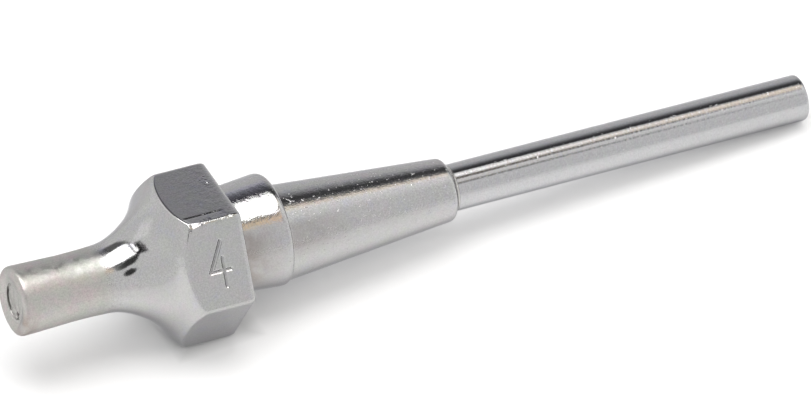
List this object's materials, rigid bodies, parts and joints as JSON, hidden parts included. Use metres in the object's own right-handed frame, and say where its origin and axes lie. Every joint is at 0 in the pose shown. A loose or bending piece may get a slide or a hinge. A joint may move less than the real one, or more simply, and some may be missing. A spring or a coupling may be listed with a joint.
{
  "type": "desoldering nozzle",
  "caption": "Slim metal suction nozzle with a tinned bored tip, flared hexagonal head, off-centre locking collar, long taper and thin rear tube.",
  "frame": {"origin": "on the nozzle's axis, at the middle of its overall length, which is the centre of its bounding box", "axes": "+X along the axis from the soldering end to the suction tube's free end, +Z square to one flat of the hexagon, so the opposite flat faces straight down"},
  "size_m": [0.04, 0.0082, 0.0072],
  "materials": {
    "plated_copper": "bright nickel-chrome plating over a copper core, mirror bright on the turned collar and taper, satin on the flare and flats",
    "tinned_iron": "iron cladding tinned with solder, satin and slightly mottled",
    "iron_liner": "iron bore, dull with traces of solder",
    "stainless_tube": "bright drawn stainless tube with fine lengthwise draw marks",
    "braze_metal": "smooth solidified filler"
  },
  "bodies": {
    "root": {"nozzle_body": "plated_copper", "tip_cladding": "tinned_iron", "bore_liner": "iron_liner", "suction_tube": "stainless_tube", "braze_fillet": "braze_metal"}
  },
  "joints": []
}
